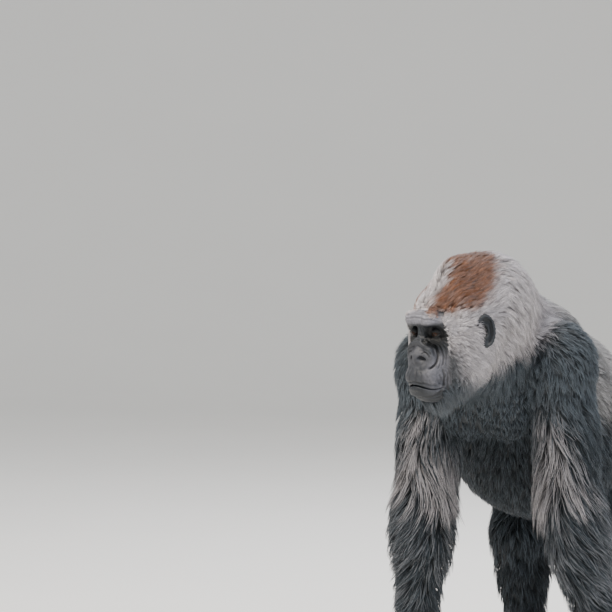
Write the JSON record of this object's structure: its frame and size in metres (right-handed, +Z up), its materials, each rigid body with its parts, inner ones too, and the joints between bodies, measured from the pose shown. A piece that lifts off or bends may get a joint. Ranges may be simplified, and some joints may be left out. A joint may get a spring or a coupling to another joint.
{
  "type": "gorilla model",
  "caption": "Life-size still model of a silverback gorilla, standing on its feet and the knuckles of its hands with its head turned to its right.",
  "frame": {"origin": "centre of the bounding box on the floor that the hands and feet stand on", "axes": "+X to the animal's left, -Y the way its body faces, +Z up"},
  "size_m": [0.6314, 1.2488, 1.2023],
  "materials": {
    "dark_coat": "long blue-black body hair with grey streaks",
    "head_coat": "short dense frosted grey hair with a rust-brown crown around a bare slate-grey face",
    "grey_coat": "dense pale grey hair of the nape",
    "saddle_coat": "short silver-grey hair of the back over a dark belly",
    "bare_skin": "bare, wrinkled, dark slate skin",
    "eye": "wet dark brown eyeball"
  },
  "bodies": {
    "root": {"neck": "grey_coat", "chest": "dark_coat", "abdomen": "saddle_coat", "pelvis": "saddle_coat", "upper_arm_left": "dark_coat", "forearm_left": "dark_coat", "thigh_left": "dark_coat", "shin_left": "dark_coat", "upper_arm_right": "dark_coat", "forearm_right": "dark_coat", "thigh_right": "dark_coat", "shin_right": "dark_coat", "head": "head_coat", "eye_left": "eye", "ear_left": "bare_skin", "eye_right": "eye", "ear_right": "bare_skin", "hand_left": "bare_skin", "foot_left": "bare_skin", "hand_right": "bare_skin", "foot_right": "bare_skin"}
  },
  "joints": []
}
